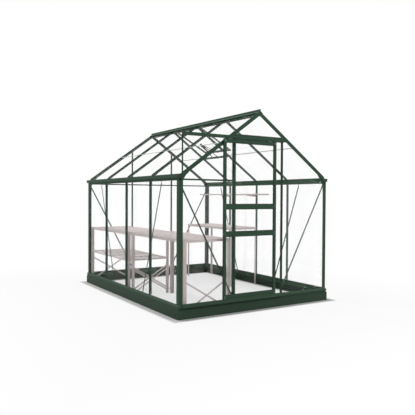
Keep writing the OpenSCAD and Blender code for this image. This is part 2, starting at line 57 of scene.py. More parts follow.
# Sections of the frame, in metres.
BAR_WIDTH = 0.022
BAR_DEPTH = 0.030
RAFTER_FACE = 0.040
PANE = 0.003

# How far a fixing sinks into the face that it sits on, and a washer's thickness.
BITE = 0.0002
WASHER = 0.001


class Slope(Enum):
    """One side of the roof or of the building, by the sign of X."""

    LEFT = -1
    RIGHT = 1


class Gable(Enum):
    """One end of the building, by the sign of Y."""

    FRONT = -1
    BACK = 1


# ---- measures ----------------------------------------------------------------------


@dataclass(frozen=True)
class Shell:
    """The building's main lines in metres, read from the frame.

    Depths count inwards from the outer face of a wall or a slope. The side bars' places
    and the jamb are the middle lines of the bars.
    """

    half_width: float
    front: float
    back: float
    sill_top: float
    wall_top: float
    ridge: float
    pitch: float
    side_bars: tuple[float, ...]
    jamb: float
    glass_depth: float
    flange_depth: float

    @classmethod
    def from_frame(cls) -> "Shell":
        """Measures the posts, bars, rafters and panes of the loaded frame.

        Returns:
            The building's main lines.
        """
        posts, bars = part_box("corner_posts"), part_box("side_bars")
        gable_bars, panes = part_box("back_gable_bars"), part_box("side_glass")
        rafter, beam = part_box("rafters_left"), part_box("ridge_beam")
        run, drop = rafter[1].x - rafter[0].x, rafter[1].z - rafter[0].z
        first, last = bars[0].y + BAR_WIDTH / 2, bars[1].y - BAR_WIDTH / 2
        glass_depth = posts[1].x - panes[1].x
        return cls(
            half_width=posts[1].x,
            front=posts[0].y,
            back=posts[1].y,
            sill_top=bars[0].z,
            wall_top=bars[1].z,
            ridge=beam[1].z,
            pitch=slope_angle(run, drop, RAFTER_FACE),
            side_bars=(first, (first + last) / 2, last),
            jamb=gable_bars[1].x - BAR_WIDTH / 2,
            glass_depth=glass_depth,
            flange_depth=glass_depth + PANE,
        )

    def end(self, gable: Gable) -> float:
        """The place of a gable's outer face."""
        return self.front if gable is Gable.FRONT else self.back

    def roof_height(self, x: float) -> float:
        """Height of the roof's outer plane above a place across the building."""
        return self.ridge - abs(x) * math.tan(self.pitch)

    def slope_frame(self, slope: Slope) -> Matrix:
        """A slope's own frame: X down it, Z out of it, zero on the ridge line.

        Args:
            slope: The side of the roof.

        Returns:
            The frame as a placing matrix.
        """
        sign = slope.value
        down = Vector((sign * math.cos(self.pitch), 0, -math.sin(self.pitch)))
        out = Vector((sign * math.sin(self.pitch), 0, math.cos(self.pitch)))
        return axes_matrix(Vector((0, 0, self.ridge)), down, out.cross(down), out)

    def wall_frame(self, slope: Slope) -> Matrix:
        """A side wall's own frame: X along world Y, Z out of the wall, Y up or down.

        Args:
            slope: The side of the building.

        Returns:
            The frame as a placing matrix.
        """
        out = Vector((slope.value, 0, 0))
        along = Vector((0, 1, 0))
        return axes_matrix(
            Vector((slope.value * self.half_width, 0, 0)), along, out.cross(along), out
        )

    def gable_frame(self, gable: Gable) -> Matrix:
        """A gable's own frame: X along world X, Z out of the gable, Y up or down.

        Args:
            gable: The end of the building.

        Returns:
            The frame as a placing matrix.
        """
        out = Vector((0, gable.value, 0))
        along = Vector((1, 0, 0))
        return axes_matrix(Vector((0, self.end(gable), 0)), along, out.cross(along), out)


def slope_angle(run: float, drop: float, face: float) -> float:
    """The pitch of a sloping bar from the size of its box.

    Args:
        run: The box's width.
        drop: The box's height, which holds the bar's face measured plumb.
        face: The bar's face, square to the slope.

    Returns:
        The angle in radians, closed in on from a usual pitch.
    """
    pitch = math.radians(35)
    for _ in range(8):
        pitch = math.atan2(drop - face / math.cos(pitch), run)
    return pitch


def axes_matrix(origin: Vector, x: Vector, y: Vector, z: Vector) -> Matrix:
    """A placing matrix from an origin and three unit axes."""
    turn = Matrix((x, y, z)).transposed()
    return Matrix.Translation(origin) @ turn.to_4x4()


def face_matrix(point: Point, normal: Point) -> Matrix:
    """A frame at a point whose Z runs along a normal."""
    turn = Vector(normal).to_track_quat("Z", "Y").to_matrix().to_4x4()
    return Matrix.Translation(Vector(point)) @ turn


def at_height(wall: Matrix, along: float, height: float, depth: float = 0.0) -> Matrix:
    """A place on a wall by its height above the ground.

    Args:
        wall: The wall's own frame, whose Y points up or down.
        along: The place's X in that frame.
        height: Its height above the ground.
        depth: Its Z in that frame.

    Returns:
        The wall's frame, moved to that place.
    """
    up = height if (wall @ Vector((0, 1, 0))).z > 0 else -height
    return wall @ Matrix.Translation((along, up, depth))


# ---- meshes ------------------------------------------------------------------------


class Joinery:
    """Collects small solids and makes one mesh piece of them."""

    def __init__(self, name: str) -> None:
        """Starts an empty piece with that name.

        Args:
            name: The name of the object that it becomes.
        """
        self.name = name
        self.points: list[Vector] = []
        self.faces: list[tuple[int, ...]] = []

    def add(self, points: list[Vector], faces: list[tuple[int, ...]]) -> None:
        """Adds one closed solid.

        Args:
            points: Its corners in the building's frame.
            faces: Its faces, as places in points.
        """
        start = len(self.points)
        self.points += points
        self.faces += [tuple(start + i for i in face) for face in faces]

    def block(self, low: Point, high: Point, place: Matrix = Matrix()) -> None:
        """Adds a box between two corners of a placed frame.

        Args:
            low: Its lowest corner.
            high: Its highest corner.
            place: The frame that it stands in.
        """
        xs, ys, zs = zip(low, high)
        corners = [
            place @ Vector((xs[i], ys[j], zs[k]))
            for i, j, k in (
                (0, 0, 0), (1, 0, 0), (1, 1, 0), (0, 1, 0),
                (0, 0, 1), (1, 0, 1), (1, 1, 1), (0, 1, 1),
            )
        ]
        sides = [
            (0, 3, 2, 1), (4, 5, 6, 7), (0, 1, 5, 4),
            (1, 2, 6, 5), (2, 3, 7, 6), (3, 0, 4, 7),
        ]
        self.add(corners, sides)

    def prism(self, outline: list[tuple[float, float]], low: float, high: float,
              place: Matrix = Matrix()) -> None:
        """Adds a flat outline pushed along Z.

        Args:
            outline: Its corners, anticlockwise.
            low: Where the prism starts.
            high: Where it ends.
            place: The frame that it stands in.
        """
        n = len(outline)
        points = [place @ Vector((x, y, z)) for z in (low, high) for x, y in outline]
        faces: list[tuple[int, ...]] = [tuple(reversed(range(n))), tuple(range(n, 2 * n))]
        faces += [(i, (i + 1) % n, n + (i + 1) % n, n + i) for i in range(n)]
        self.add(points, faces)

    def rod(self, radius: float, low: float, high: float, place: Matrix,
            sides: int = 16) -> None:
        """Adds a straight rod along Z of a placed frame.

        Args:
            radius: From its axis to its edges.
            low: Where the rod starts.
            high: Where it ends.
            place: The frame that it stands in.
            sides: Flat sides of the rod all round.
        """
        ring = [
            (radius * math.cos(2 * math.pi * i / sides),
             radius * math.sin(2 * math.pi * i / sides))
            for i in range(sides)
        ]
        self.prism(ring, low, high, place)

    def bolt(self, place: Matrix, across: float = 0.010, height: float = 0.004) -> None:
        """Adds a washer and a six-sided head that stand on Z = 0.

        Args:
            place: The frame that the bolt stands in.
            across: The head's size over its flats.
            height: How far the head stands out.
        """
        self.rod(across * 0.72, -BITE, WASHER, place, 16)
        self.rod(across / math.sqrt(3), WASHER, height, place, 6)
        self.rod(across * 0.42, height, height + 0.0005, place, 12)

    def button(self, place: Matrix, radius: float = 0.004) -> None:
        """Adds a domed screw head that stands on Z = 0.

        Args:
            place: The frame that the screw stands in.
            radius: Half of the head's width.
        """
        self.rod(radius, -BITE, radius * 0.25, place, 14)
        self.rod(radius * 0.82, radius * 0.25, radius * 0.42, place, 14)
        self.rod(radius * 0.5, radius * 0.42, radius * 0.5, place, 14)

    def wire(self, path: list[Vector], radius: float, sides: int = 6) -> None:
        """Adds a round wire along a path.

        Args:
            path: The points that its middle line runs through.
            radius: Half of its thickness.
            sides: Flat sides of the wire all round.
        """
        rings: list[Vector] = []
        for i, point in enumerate(path):
            ahead = path[min(i + 1, len(path) - 1)] - path[max(i - 1, 0)]
            turn = ahead.to_track_quat("Z", "Y").to_matrix()
            for k in range(sides):
                angle = 2 * math.pi * k / sides
                rings.append(point + turn @ Vector(
                    (radius * math.cos(angle), radius * math.sin(angle), 0)))
        last = (len(path) - 1) * sides
        faces: list[tuple[int, ...]] = [
            tuple(reversed(range(sides))), tuple(range(last, last + sides))]
        for i in range(len(path) - 1):
            for k in range(sides):
                a, b = i * sides + k, i * sides + (k + 1) % sides
                faces.append((a, b, b + sides, a + sides))
        self.add(rings, faces)

    def piece(self, finish: bpy.types.Material, body: str,
              slot: str | None = None) -> None:
        """Makes the piece, gives it a finish and lets it ride on a body.

        Args:
            finish: The material of the whole piece.
            body: The frame body that carries it.
            slot: Not used. It names the record's slot that the finish comes from, where it has
                one.
        """
        mesh = bpy.data.meshes.new(self.name)
        mesh.from_pydata([tuple(p) for p in self.points], [], self.faces)
        mesh.materials.append(finish)
        mesh.update()
        made = bpy.data.objects.new(self.name, mesh)
        bpy.context.scene.collection.objects.link(made)
        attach(made, body)
        log.info("%s: %d faces on %s", self.name, len(self.faces), body)


# ---- finishes ----------------------------------------------------------------------


def new_group(name: str, inputs: dict[str, float], outputs: list[str]) -> bpy.types.NodeTree:
    """Starts a node group that takes a place and numbers.

    Args:
        name: The group's name.
        inputs: Each number that it takes, and its value at the start.
        outputs: The outputs, which are all numbers.

    Returns:
        The group, with its own input and output nodes in place.
    """
    group = bpy.data.node_groups.new(name, "ShaderNodeTree")
    face = group.interface
    vector = face.new_socket("Place", in_out="INPUT", socket_type="NodeSocketVector")
    vector.hide_value = True
    for label, value in inputs.items():
        face.new_socket(label, in_out="INPUT", socket_type="NodeSocketFloat").default_value = value
    for label in outputs:
        face.new_socket(label, in_out="OUTPUT", socket_type="NodeSocketFloat")
    group.nodes.new("NodeGroupInput")
    group.nodes.new("NodeGroupOutput")
    return group


def shade(colour: Colour, share: float = 1.0) -> tuple[float, float, float, float]:
    """A colour for a socket, made darker or lighter by a share of itself."""
    red, green, blue = (min(1.0, c * share) for c in colour)
    return red, green, blue, 1.0


class Nodes:
    """Adds nodes to a tree and joins them by name."""

    def __init__(self, tree: bpy.types.NodeTree) -> None:
        """Takes the tree of a material or a group."""
        self.tree = tree

    def node(self, kind: str, links: dict[str | int, object] | None = None,
             **settings: object) -> bpy.types.Node:
        """Adds a node.

        Args:
            kind: The node's type name.
            links: For each input, a number, a colour or the output that feeds it.
            settings: Properties of the node.

        Returns:
            The new node.
        """
        made = self.tree.nodes.new(kind)
        for key, value in settings.items():
            setattr(made, key, value)
        for key, value in (links or {}).items():
            if isinstance(value, bpy.types.NodeSocket):
                self.tree.links.new(value, made.inputs[key])
            else:
                made.inputs[key].default_value = value
        return made

    def sums(self, operation: str, *values: object, clamp: bool = False) -> bpy.types.NodeSocket:
        """Adds a Math node.

        Args:
            operation: The node's operation.
            values: A number, or the output that feeds it, for each input.
            clamp: Whether the result stays between 0 and 1.

        Returns:
            The node's output.
        """
        made = self.node("ShaderNodeMath", dict(enumerate(values)), operation=operation,
                         use_clamp=clamp)
        return made.outputs[0]

    def blend(self, factor: object, low: object, high: object) -> bpy.types.NodeSocket:
        """Adds a colour mix.

        Args:
            factor: The share of the second colour.
            low: The first colour.
            high: The second colour.

        Returns:
            The mixed colour.
        """
        made = self.node("ShaderNodeMix", {}, data_type="RGBA")
        for socket, value in ((made.inputs[0], factor), (made.inputs[6], low),
                              (made.inputs[7], high)):
            if isinstance(value, bpy.types.NodeSocket):
                self.tree.links.new(value, socket)
            else:
                socket.default_value = value
        return made.outputs[2]


class Effects:
    """The surface effects that several finishes share, each built once as a group."""

    def __init__(self) -> None:
        """Builds the groups."""
        self.coat = self._coat()
        self.weather = self._weather()
        self.grain = self._grain()

    @staticmethod
    def _coat() -> bpy.types.NodeTree:
        """Powder coat: a slow mottle, and the fine ripple of the cured film.

        Returns:
            The group, which gives both as values.
        """
        group = new_group("Powder Coat", {"Mottle Size": 3.0, "Ripple Size": 420.0},
                          ["Mottle", "Ripple"])
        build = Nodes(group)
        source = group.nodes["Group Input"].outputs
        mottle = build.node("ShaderNodeTexNoise", {
            "Vector": source["Place"], "Scale": source["Mottle Size"], "Detail": 4.0})
        ripple = build.node("ShaderNodeTexNoise", {
            "Vector": source["Place"], "Scale": source["Ripple Size"], "Detail": 1.0})
        out = group.nodes["Group Output"].inputs
        group.links.new(mottle.outputs[0], out["Mottle"])
        group.links.new(ripple.outputs[0], out["Ripple"])
        return group

    @staticmethod
    def _weather() -> bpy.types.NodeTree:
        """Dust that settles near the ground and in broken patches.

        Returns:
            The group, which gives the dust as a mask.
        """
        group = new_group("Ground Dust", {"Reach": 0.25, "Patch Size": 9.0}, ["Dust"])
        build = Nodes(group)
        source = group.nodes["Group Input"].outputs
        parts = build.node("ShaderNodeSeparateXYZ", {0: source["Place"]})
        height = build.sums("DIVIDE", parts.outputs[2], source["Reach"], clamp=True)
        low = build.sums("SUBTRACT", 1.0, height, clamp=True)
        patch = build.node("ShaderNodeTexNoise", {
            "Vector": source["Place"], "Scale": source["Patch Size"], "Detail": 6.0})
        broken = build.sums("MULTIPLY", build.sums("POWER", low, 2.0),
                            build.sums("MULTIPLY", patch.outputs[0], 1.6), clamp=True)
        group.links.new(broken, group.nodes["Group Output"].inputs["Dust"])
        return group

    @staticmethod
    def _grain() -> bpy.types.NodeTree:
        """Fine lines drawn along the length of rolled or extruded metal.

        Returns:
            The group, which gives the lines and a slow bloom as values.
        """
        group = new_group("Drawn Grain", {"Along": 4.0, "Across": 260.0, "Bloom Size": 7.0},
                          ["Lines", "Bloom"])
        build = Nodes(group)
        source = group.nodes["Group Input"].outputs
        parts = build.node("ShaderNodeSeparateXYZ", {0: source["Place"]})
        stretched = build.node("ShaderNodeCombineXYZ", {
            0: build.sums("MULTIPLY", parts.outputs[0], source["Across"]),
            1: build.sums("MULTIPLY", parts.outputs[1], source["Along"]),
            2: build.sums("MULTIPLY", parts.outputs[2], source["Across"])})
        lines = build.node("ShaderNodeTexNoise", {
            "Vector": stretched.outputs[0], "Scale": 1.0, "Detail": 2.0})
        bloom = build.node("ShaderNodeTexNoise", {
            "Vector": source["Place"], "Scale": source["Bloom Size"], "Detail": 5.0})
        out = group.nodes["Group Output"].inputs
        group.links.new(lines.outputs[0], out["Lines"])
        group.links.new(bloom.outputs[0], out["Bloom"])
        return group


@dataclass(frozen=True)
class PaintFinish:
    """Powder-coated metal with a trace of dust near the ground."""

    name: str
    colour: Colour
    dust: Colour = (0.16, 0.14, 0.11)
    dust_share: float = 0.25
    mottle: float = 0.18
    roughness: float = 0.5
    specular: float = 0.1

    def material(self, effects: Effects) -> bpy.types.Material:
        """Builds the material from the shared effects.

        Args:
            effects: The groups that it shares with the other finishes.

        Returns:
            The finished material.
        """
        made, build, place = start_material(self.name)
        coat = build.node("ShaderNodeGroup", {}, node_tree=effects.coat)
        dusty = build.node("ShaderNodeGroup", {}, node_tree=effects.weather)
        for group in (coat, dusty):
            made.node_tree.links.new(place, group.inputs["Place"])
        dark = shade(self.colour, 1 - self.mottle)
        pale = shade(self.colour, 1 + self.mottle)
        base = build.blend(coat.outputs["Mottle"], dark, pale)
        share = build.sums("MULTIPLY", dusty.outputs["Dust"], self.dust_share)
        colour = build.blend(share, base, shade(self.dust))
        gloss = build.node("ShaderNodeMapRange", {
            0: coat.outputs["Mottle"], 3: self.roughness - 0.06, 4: self.roughness + 0.08})
        rough = build.sums("ADD", gloss.outputs[0], share, clamp=True)
        ripple = build.node("ShaderNodeBump", {
            "Height": coat.outputs["Ripple"], "Strength": 0.12, "Distance": 0.0004})
        finish_material(build, {
            "Base Color": colour, "Roughness": rough, "Normal": ripple.outputs[0],
            "Specular IOR Level": self.specular})
        return made


@dataclass(frozen=True)
class MetalFinish:
    """Bare metal with a drawn grain."""

    name: str
    colour: Colour
    roughness: float
    metallic: float
    specular: float = 0.5

    def material(self, effects: Effects) -> bpy.types.Material:
        """Builds the material from the shared effects.

        Args:
            effects: The groups that it shares with the other finishes.

        Returns:
            The finished material.
        """
        made, build, place = start_material(self.name)
        grain = build.node("ShaderNodeGroup", {}, node_tree=effects.grain)
        made.node_tree.links.new(place, grain.inputs["Place"])
        dark, pale = shade(self.colour, 0.9), shade(self.colour, 1.08)
        base = build.blend(grain.outputs["Bloom"], dark, pale)
        gloss = build.node("ShaderNodeMapRange", {
            0: grain.outputs["Lines"], 3: self.roughness - 0.1, 4: self.roughness + 0.1})
        lines = build.node("ShaderNodeBump", {
            "Height": grain.outputs["Lines"], "Strength": 0.1, "Distance": 0.0003})
        finish_material(build, {
            "Base Color": base, "Roughness": gloss.outputs[0], "Metallic": self.metallic,
            "Specular IOR Level": self.specular, "Normal": lines.outputs[0]})
        return made


@dataclass(frozen=True)
class RubberFinish:
    """Rubber or plastic with a soft, uneven sheen."""

    name: str
    colour: Colour
    roughness: float = 0.6
    mottle_size: float = 30.0

    def material(self, effects: Effects) -> bpy.types.Material:
        """Builds the material from the shared effects.

        Args:
            effects: The groups that it shares with the other finishes.

        Returns:
            The finished material.
        """
        made, build, place = start_material(self.name)
        coat = build.node("ShaderNodeGroup", {}, node_tree=effects.coat)
        made.node_tree.links.new(place, coat.inputs["Place"])
        coat.inputs["Mottle Size"].default_value = self.mottle_size
        gloss = build.node("ShaderNodeMapRange", {
            0: coat.outputs["Mottle"], 3: self.roughness - 0.1, 4: self.roughness + 0.15})
        finish_material(build, {
            "Base Color": shade(self.colour), "Roughness": gloss.outputs[0]})
        return made


@dataclass(frozen=True)
class GlassFinish:
    """Clear flat glass. Light from the lamps passes straight through it."""

    name: str
    colour: Colour
    ior: float = 1.45
    roughness: float = 0.0
    clear_share: float = 0.965

    def material(self) -> bpy.types.Material:
        """Builds the material, which shares no effect with the others.

        Returns:
            The finished material.
        """
        made = bpy.data.materials.new(self.name)
        made.use_nodes = True
        tree = made.node_tree
        tree.nodes.clear()
        build = Nodes(tree)
        pane = build.node("ShaderNodeBsdfPrincipled", {
            "Base Color": shade(self.colour), "Roughness": self.roughness,
            "IOR": self.ior, "Transmission Weight": 1.0})
        clear = build.node("ShaderNodeBsdfTransparent", {"Color": WHITE})
        path = build.node("ShaderNodeLightPath")
        seen = build.node("ShaderNodeMixShader", {
            0: self.clear_share, 1: pane.outputs[0], 2: clear.outputs[0]})
        mix = build.node("ShaderNodeMixShader", {
            0: path.outputs["Is Shadow Ray"], 1: seen.outputs[0], 2: clear.outputs[0]})
        build.node("ShaderNodeOutputMaterial", {"Surface": mix.outputs[0]})
        return made


def start_material(name: str) -> tuple[bpy.types.Material, Nodes, bpy.types.NodeSocket]:
    """Starts a material whose patterns follow the object's own coordinates.

    Args:
        name: The material's name.

    Returns:
        The material, its nodes and the output that gives the coordinates.
    """
    made = bpy.data.materials.new(name)
    made.use_nodes = True
    made.node_tree.nodes.clear()
    build = Nodes(made.node_tree)
    place = build.node("ShaderNodeTexCoord").outputs["Object"]
    return made, build, place


def finish_material(build: Nodes, inputs: dict[str, object]) -> None:
    """Ends a material with one Principled shader that takes the given inputs."""
    shader = build.node("ShaderNodeBsdfPrincipled", inputs)
    build.node("ShaderNodeOutputMaterial", {"Surface": shader.outputs[0]})


@dataclass
class Palette:
    """Every finish on the building, made once."""

    effects: Effects = field(default_factory=Effects)

    def __post_init__(self) -> None:
        """Makes the materials from their finishes."""
        fx = self.effects
        self.frame = PaintFinish("Frame green", (0.032, 0.070, 0.042)).material(fx)
        self.plinth = PaintFinish("Plinth green", (0.025, 0.054, 0.035),
                                  dust_share=0.10).material(fx)
        self.black = PaintFinish("Stay black", (0.010, 0.011, 0.011),
                                 dust_share=0.0).material(fx)
        self.glass = GlassFinish("Clear glass", (0.985, 1.0, 0.99)).material()
        self.staging = MetalFinish("Mill aluminium", (0.60, 0.535, 0.53), roughness=0.6,
                                   metallic=0.1, specular=0.15).material(fx)
        self.zinc = MetalFinish("Zinc plate", (0.42, 0.42, 0.41), roughness=0.48,
                                metallic=0.9).material(fx)
        self.spring = MetalFinish("Spring steel", (0.24, 0.25, 0.24), roughness=0.45,
                                  metallic=0.6).material(fx)
        self.rubber = RubberFinish("Black rubber", (0.012, 0.012, 0.012)).material(fx)
        self.plastic = RubberFinish("Pale plastic", (0.46, 0.51, 0.48),
                                    roughness=0.5).material(fx)

    def for_slot(self, slot: str) -> bpy.types.Material:
        """The finish of a slot in the part's record.

        Args:
            slot: The slot's name.

        Returns:
            The material that dresses it.
        """
        return {
            "frame_paint": self.frame, "plinth_steel": self.plinth, "dark_metal": self.black,
            "glass": self.glass, "staging": self.staging, "bright_metal": self.zinc,
        }[slot]


# ---- sub-assemblies ----------------------------------------------------------------


@dataclass
class Carcass:
    """The frame as it comes, with a finish on every node."""

    palette: Palette

    def dress(self) -> None:
        """Gives each node the finish of its slot."""
        slots = {part["node"]: part["material_slot"] for part in frame["record"]["subparts"]}
        for name, node in frame["nodes"].items():
            node.data.materials.clear()
            node.data.materials.append(self.palette.for_slot(slots[name]))
        log.info("dressed %d nodes", len(frame["nodes"]))


@dataclass
class Glazing:
    """Spring clips on the glazing bars, and the strips where two panes meet.

    The roof's clips and the joint of its panes are measured down the slope from the ridge
    line. A strip ends bar_edge from a bar's middle line and gable_edge from a gable.
    """

    shell: Shell
    palette: Palette
    reach: float = 0.0155
    wire: float = 0.0007
    clip_step: float = 0.29
    roof_clips: tuple[float, ...] = (0.16, 0.44, 0.75, 1.02)
    gable_top_gap: float = 0.08
    joint: float = 0.610
    bar_edge: float = 0.0125
    gable_edge: float = 0.0255
    strip_width: float = 0.008
    strip_skin: float = 0.001
    strip_web: float = 0.0018

    def _clip(self, piece: Joinery, place: Matrix) -> None:
        """Adds one W-shaped clip over a bar's nose; X is across and Y along the bar.

        Args:
            piece: The piece that takes the clip.
            place: The clip's own frame, whose Z leaves the glass.
        """
        glass = -self.shell.glass_depth + self.wire
        leg = [
            (self.reach, 0.010, glass), (0.010, -0.010, glass), (0.004, -0.002, glass + 0.003),
        ]
        shape = [(-x, y, z) for x, y, z in leg] + [(0.0, 0.006, self.wire)] + leg[::-1]
        piece.wire([place @ Vector(p) for p in shape], self.wire)

    def _clip_row(self, piece: Joinery, wall: Matrix, along: float, top: float) -> None:
        """Adds evenly spaced clips up one bar of a wall.

        Args:
            piece: The piece that takes the clips.
            wall: The wall's own frame.
            along: The bar's place along the wall.
            top: The height of the bar's upper end.
        """
        for i in range(int((top - self.shell.sill_top) / self.clip_step)):
            height = self.shell.sill_top + (i + 0.5) * self.clip_step
            self._clip(piece, at_height(wall, along, height))

    def clips(self) -> None:
        """Makes the clips of the side walls, the back gable and the roof."""
        piece = Joinery("glazing_clips")
        shell = self.shell
        quarter = Matrix.Rotation(math.pi / 2, 4, "Z")
        for slope in Slope:
            wall, roof = shell.wall_frame(slope), shell.slope_frame(slope)
            for y in shell.side_bars:
                self._clip_row(piece, wall, y, shell.wall_top)
            for y in shell.side_bars:
                for down in self.roof_clips:
                    place = roof @ Matrix.Translation((down, slope.value * y, 0)) @ quarter
                    self._clip(piece, place)
        for x in (-shell.jamb, shell.jamb):
            self._clip_row(piece, shell.gable_frame(Gable.BACK), x,
                           shell.roof_height(shell.jamb) - self.gable_top_gap)
        piece.piece(self.palette.spring, HOUSE)

    def _strip(self, piece: Joinery, place: Matrix, start: float, end: float) -> None:
        """Adds an H-shaped strip along Y of a frame whose Z leaves the glass.

        Args:
            piece: The piece that takes the strip.
            place: The strip's own frame.
            start: Where the strip starts.
            end: Where it ends.
        """
        outer = -self.shell.glass_depth
        inner = -self.shell.flange_depth
        half, web = self.strip_width / 2, self.strip_web / 2
        piece.block((-half, start, outer), (half, end, outer + self.strip_skin), place)
        piece.block((-half, start, inner - self.strip_skin), (half, end, inner), place)
        piece.block((-web, start, inner), (web, end, outer), place)

    def joint_strips(self) -> None:
        """Makes the strips between the upper and lower panes, in each bay but the vent's."""
        piece = Joinery("pane_joint_strips")
        shell = self.shell
        starts = [shell.front + self.gable_edge, *(y + self.bar_edge for y in shell.side_bars)]
        ends = [*(y - self.bar_edge for y in shell.side_bars), shell.back - self.gable_edge]
        bays = list(zip(starts, ends))
        vent_bay = bays[-2]
        for slope in Slope:
            roof = shell.slope_frame(slope) @ Matrix.Translation((self.joint, 0, 0))
            for bay in bays:
                if slope is Slope.LEFT or bay != vent_bay:
                    low, high = sorted(slope.value * y for y in bay)
                    self._strip(piece, roof, low, high)
        piece.piece(self.palette.plastic, HOUSE)


@dataclass
class Fixings:
    """Bolts and screws of the frame and the plinth, and the packing under the sill's lip.

    Spots on the eaves plates are given in from the side wall and up from its top, and spots
    on the apex plates are given out from the middle and down from the ridge. A bolt's size
    is its width across the flats and its height.
    """

    shell: Shell
    palette: Palette
    foot_gap: float = 0.018
    head_gap: float = 0.020
    roof_ends: tuple[float, float] = (0.045, 1.10)
    plate: float = 0.002
    eaves_bolt: tuple[float, float] = (0.009, 0.0035)
    eaves_spots: tuple[tuple[float, float], ...] = (
        (0.036, -0.04), (0.036, 0.0), (0.060, 0.050), (0.088, 0.072))
    apex_bolt: tuple[float, float] = (0.008, 0.0035)
    apex_spots: tuple[tuple[float, float], ...] = ((0.024, 0.033), (0.046, 0.048))
    post_gap: float = 0.022
    post_inset: float = 0.024
    coach_head: float = 0.008
    coach_inset: float = 0.05
    lip: float = 0.030
    lip_side_out: float = 0.010
    lip_end_out: float = 0.004
    fit: float = 0.0003

    def frame_bolts(self) -> None:
        """Makes the nuts of the bars, the bolts of the gussets and the posts' screws."""
        piece = Joinery("frame_bolts")
        self._bar_ends(piece)
        self._gusset_bolts(piece)
        self._post_screws(piece)
        piece.piece(self.palette.zinc, HOUSE, "bright_metal")

    def _bar_ends(self, piece: Joinery) -> None:
        """Adds a nut on the inner face of each bar, near both of its ends.

        Args:
            piece: The piece that takes the nuts.
        """
        shell = self.shell
        flip = Matrix.Rotation(math.pi, 4, "X")
        for slope in Slope:
            wall, roof = shell.wall_frame(slope), shell.slope_frame(slope)
            for y in shell.side_bars:
                for z in (shell.sill_top + self.foot_gap, shell.wall_top - self.head_gap):
                    piece.bolt(at_height(wall, y, z, -BAR_DEPTH) @ flip)
            for y in shell.side_bars:
                for down in self.roof_ends:
                    place = Matrix.Translation((down, slope.value * y, -BAR_DEPTH)) @ flip
                    piece.bolt(roof @ place)

    def _gusset_bolts(self, piece: Joinery) -> None:
        """Adds the bolts on the inner faces of the corner and apex plates.

        Args:
            piece: The piece that takes the bolts.
        """
        shell = self.shell
        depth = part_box("eaves_gussets")[0].y + self.plate - shell.front
        for gable in Gable:
            y = shell.end(gable) - gable.value * depth
            inwards = (0, -gable.value, 0)
            for side in Slope:
                for across, up in self.eaves_spots:
                    x = side.value * (shell.half_width - across)
                    place = face_matrix((x, y, shell.wall_top + up), inwards)
                    piece.bolt(place, *self.eaves_bolt)
                for across, down in self.apex_spots:
                    place = face_matrix((side.value * across, y, shell.ridge - down), inwards)
                    piece.bolt(place, *self.apex_bolt)

    def _post_screws(self, piece: Joinery) -> None:
        """Adds domed screws to each post's side face, and to the back posts' end face.

        Args:
            piece: The piece that takes the screws.
        """
        shell = self.shell
        for gable in Gable:
            end = shell.end(gable)
            for side in Slope:
                for z in (shell.sill_top + self.post_gap, shell.wall_top - self.post_gap):
                    across = side.value * shell.half_width
                    along = end - gable.value * self.post_inset
                    piece.button(face_matrix((across, along, z), (side.value, 0, 0)))
                    if gable is Gable.BACK:
                        place = (across - side.value * self.post_inset, end, z)
                        piece.button(face_matrix(place, (0, 1, 0)))

    def plinth_bolts(self) -> None:
        """Makes the coach bolts on the sides and the front of the plinth."""
        piece = Joinery("plinth_bolts")
        low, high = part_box("plinth_sides")
        middle = (low.z + high.z) / 2
        inset, head = self.coach_inset, self.coach_head
        for side, x in ((-1, low.x), (1, high.x)):
            for y in (low.y + inset, (low.y + high.y) / 2, high.y - inset):
                piece.button(face_matrix((x, y, middle), (side, 0, 0)), head)
        for x in (low.x + inset, high.x - inset):
            piece.button(face_matrix((x, low.y, middle), (0, -1, 0)), head)
        piece.piece(self.palette.plinth, HOUSE, "plinth_steel")

    def sill_packing(self) -> None:
        """Makes the packing strips between the sill's lip and the top of the plinth."""
        piece = Joinery("sill_packing")
        shell, fit = self.shell, self.fit
        low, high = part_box("plinth_sides")[1].z + fit, shell.sill_top - self.lip - fit
        side, side_out = shell.half_width + fit, self.lip_side_out
        front, back, end_out = shell.front - fit, shell.back + fit, self.lip_end_out
        for a, b in ((-side - side_out, -side), (side, side + side_out)):
            piece.block((a, front - end_out, low), (b, back + end_out, high))
        for a, b in ((front - end_out, front), (back, back + end_out)):
            piece.block((-side, a, low), (side, b, high))
        piece.piece(self.palette.frame, HOUSE, "frame_paint")


